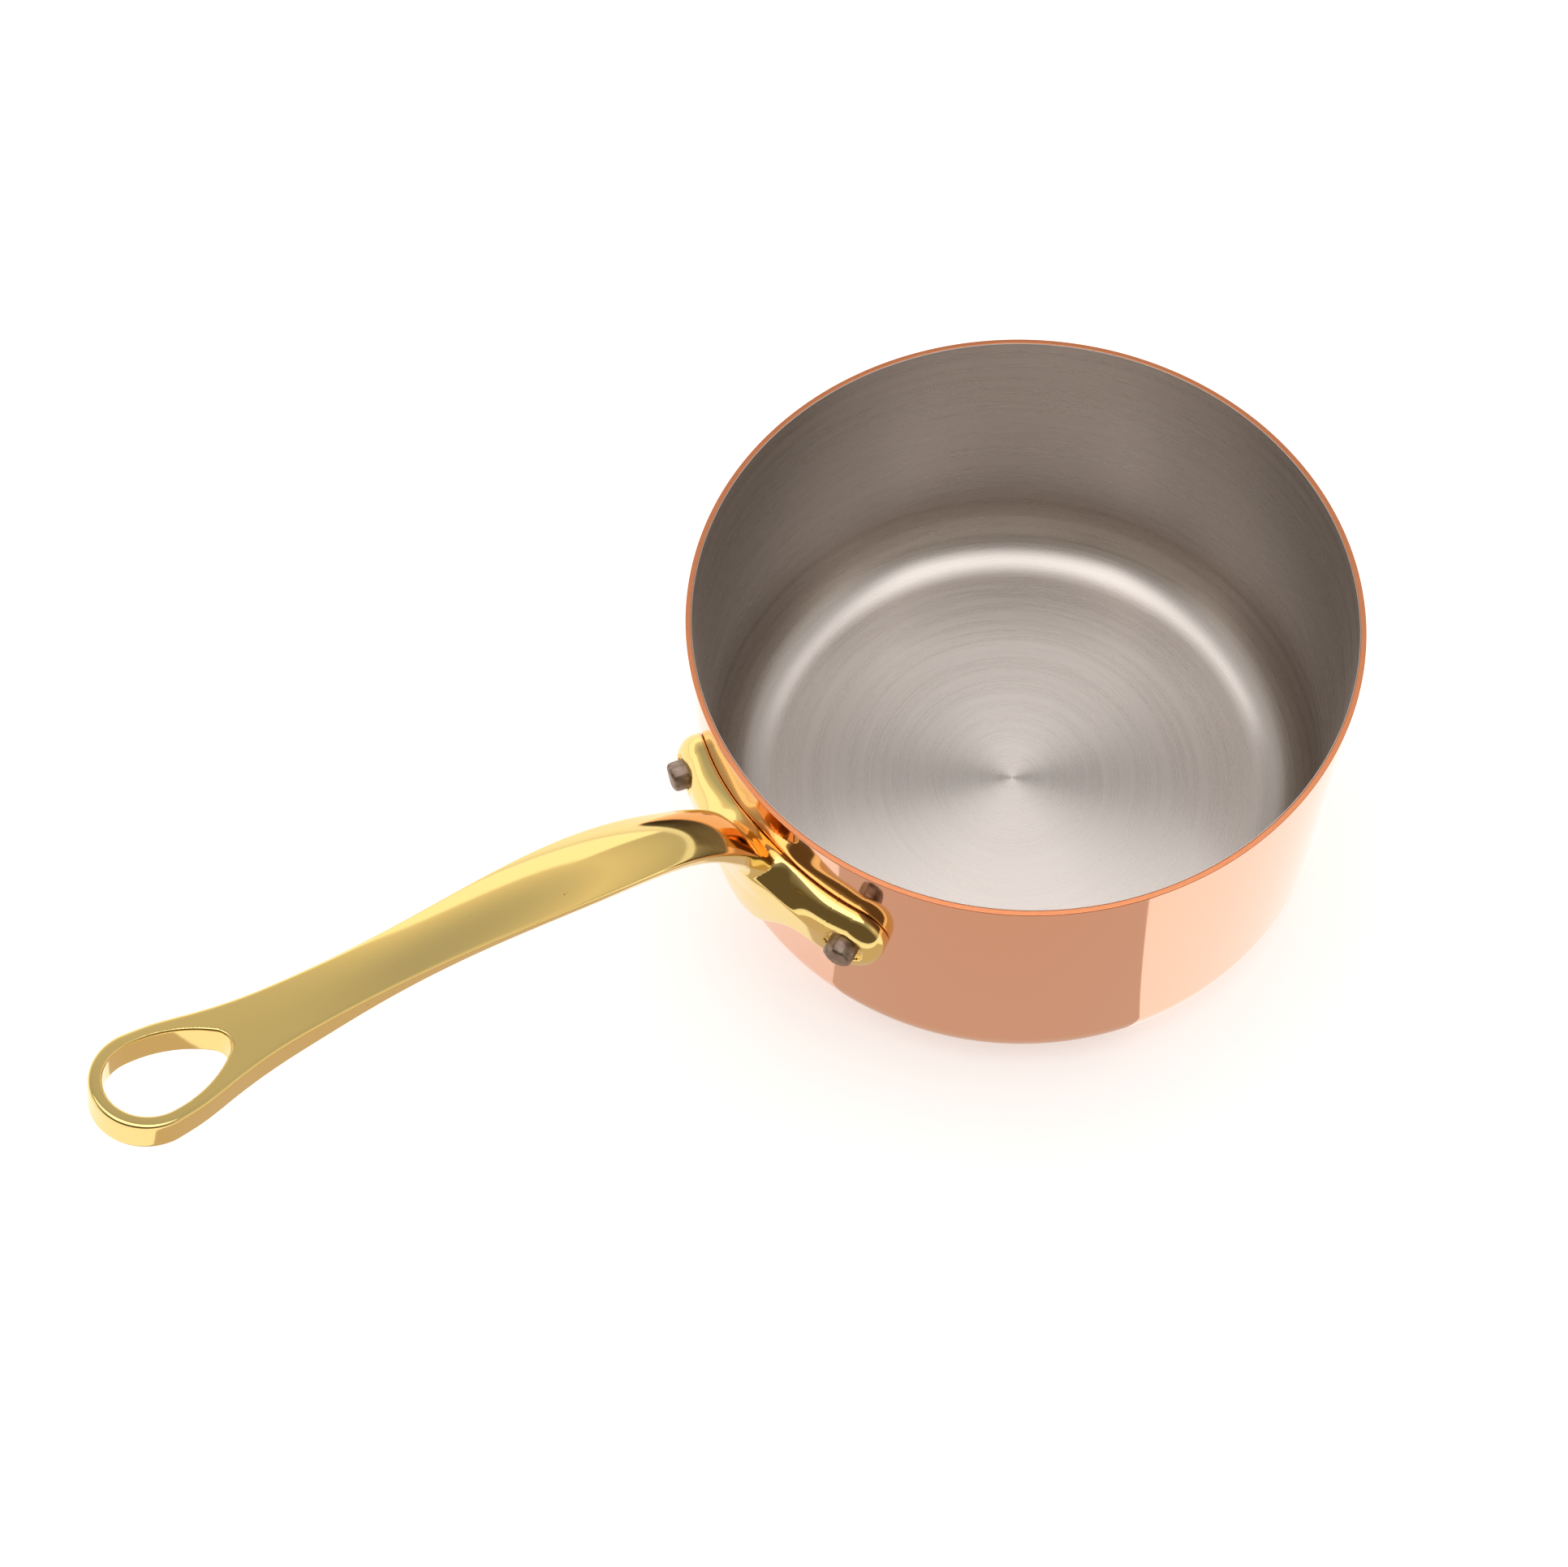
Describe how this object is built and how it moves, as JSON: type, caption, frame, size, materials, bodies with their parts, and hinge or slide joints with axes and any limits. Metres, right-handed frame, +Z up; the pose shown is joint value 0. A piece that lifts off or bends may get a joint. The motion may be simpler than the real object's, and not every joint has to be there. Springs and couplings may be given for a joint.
{
  "type": "saucepan",
  "caption": "Straight-sided copper saucepan lined with steel, with a riveted cast brass handle that ends in a teardrop hanging hole.",
  "frame": {"origin": "centre of the base's flat underside, on the pan's own axis", "axes": "+Z up along the pan's axis, handle along -Y, mirror plane at x = 0"},
  "size_m": [0.16, 0.3127, 0.155],
  "materials": {
    "copper": "mirror polished copper, bare along the rim",
    "lining_steel": "circular brushed stainless steel",
    "cast_brass": "polished yellow casting with small casting marks",
    "rivet_steel": "dull hammered rivet ends"
  },
  "bodies": {
    "root": {"copper_shell": "copper", "steel_lining": "lining_steel", "handle": "cast_brass", "rivet_left": "rivet_steel", "rivet_right": "rivet_steel"}
  },
  "joints": []
}
